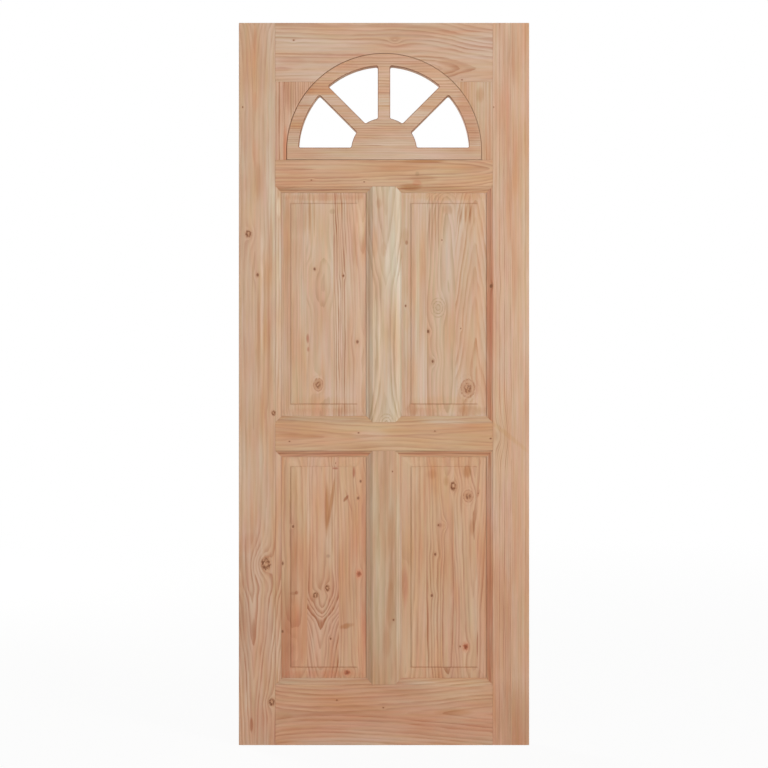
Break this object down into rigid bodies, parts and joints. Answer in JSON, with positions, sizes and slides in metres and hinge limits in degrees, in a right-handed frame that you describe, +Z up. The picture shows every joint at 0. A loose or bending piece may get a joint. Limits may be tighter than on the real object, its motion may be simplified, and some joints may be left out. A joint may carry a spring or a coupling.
{
  "type": "exterior door leaf with fan light",
  "caption": "Softwood exterior door leaf: framed, with raised and fielded panels below an open half-round fan light; bare wood, not yet hung, glazed or locked.",
  "frame": {"origin": "on the hinge edge's flat face, at the bottom end and half-way through the thickness", "axes": "+X across the leaf from the hinge edge to the lock edge, +Y from the front face to the back face, +Z up the leaf"},
  "size_m": [0.82, 0.04, 2.04],
  "materials": {
    "stiles": "bare, planed and sanded",
    "rails": "bare, planed and sanded",
    "muntins": "bare, planed and sanded",
    "panels": "bare, planed and sanded",
    "fan_light": "bare, planed and sanded"
  },
  "bodies": {
    "root": {"left_stile": "stiles", "right_stile": "stiles", "top_rail": "rails", "fan_rail": "rails", "lock_rail": "rails", "bottom_rail": "rails", "left_spandrel": "rails", "right_spandrel": "rails", "upper_muntin": "muntins", "lower_muntin": "muntins", "upper_left_panel": "panels", "upper_right_panel": "panels", "lower_left_panel": "panels", "lower_right_panel": "panels", "fan_frame": "fan_light"}
  },
  "joints": []
}
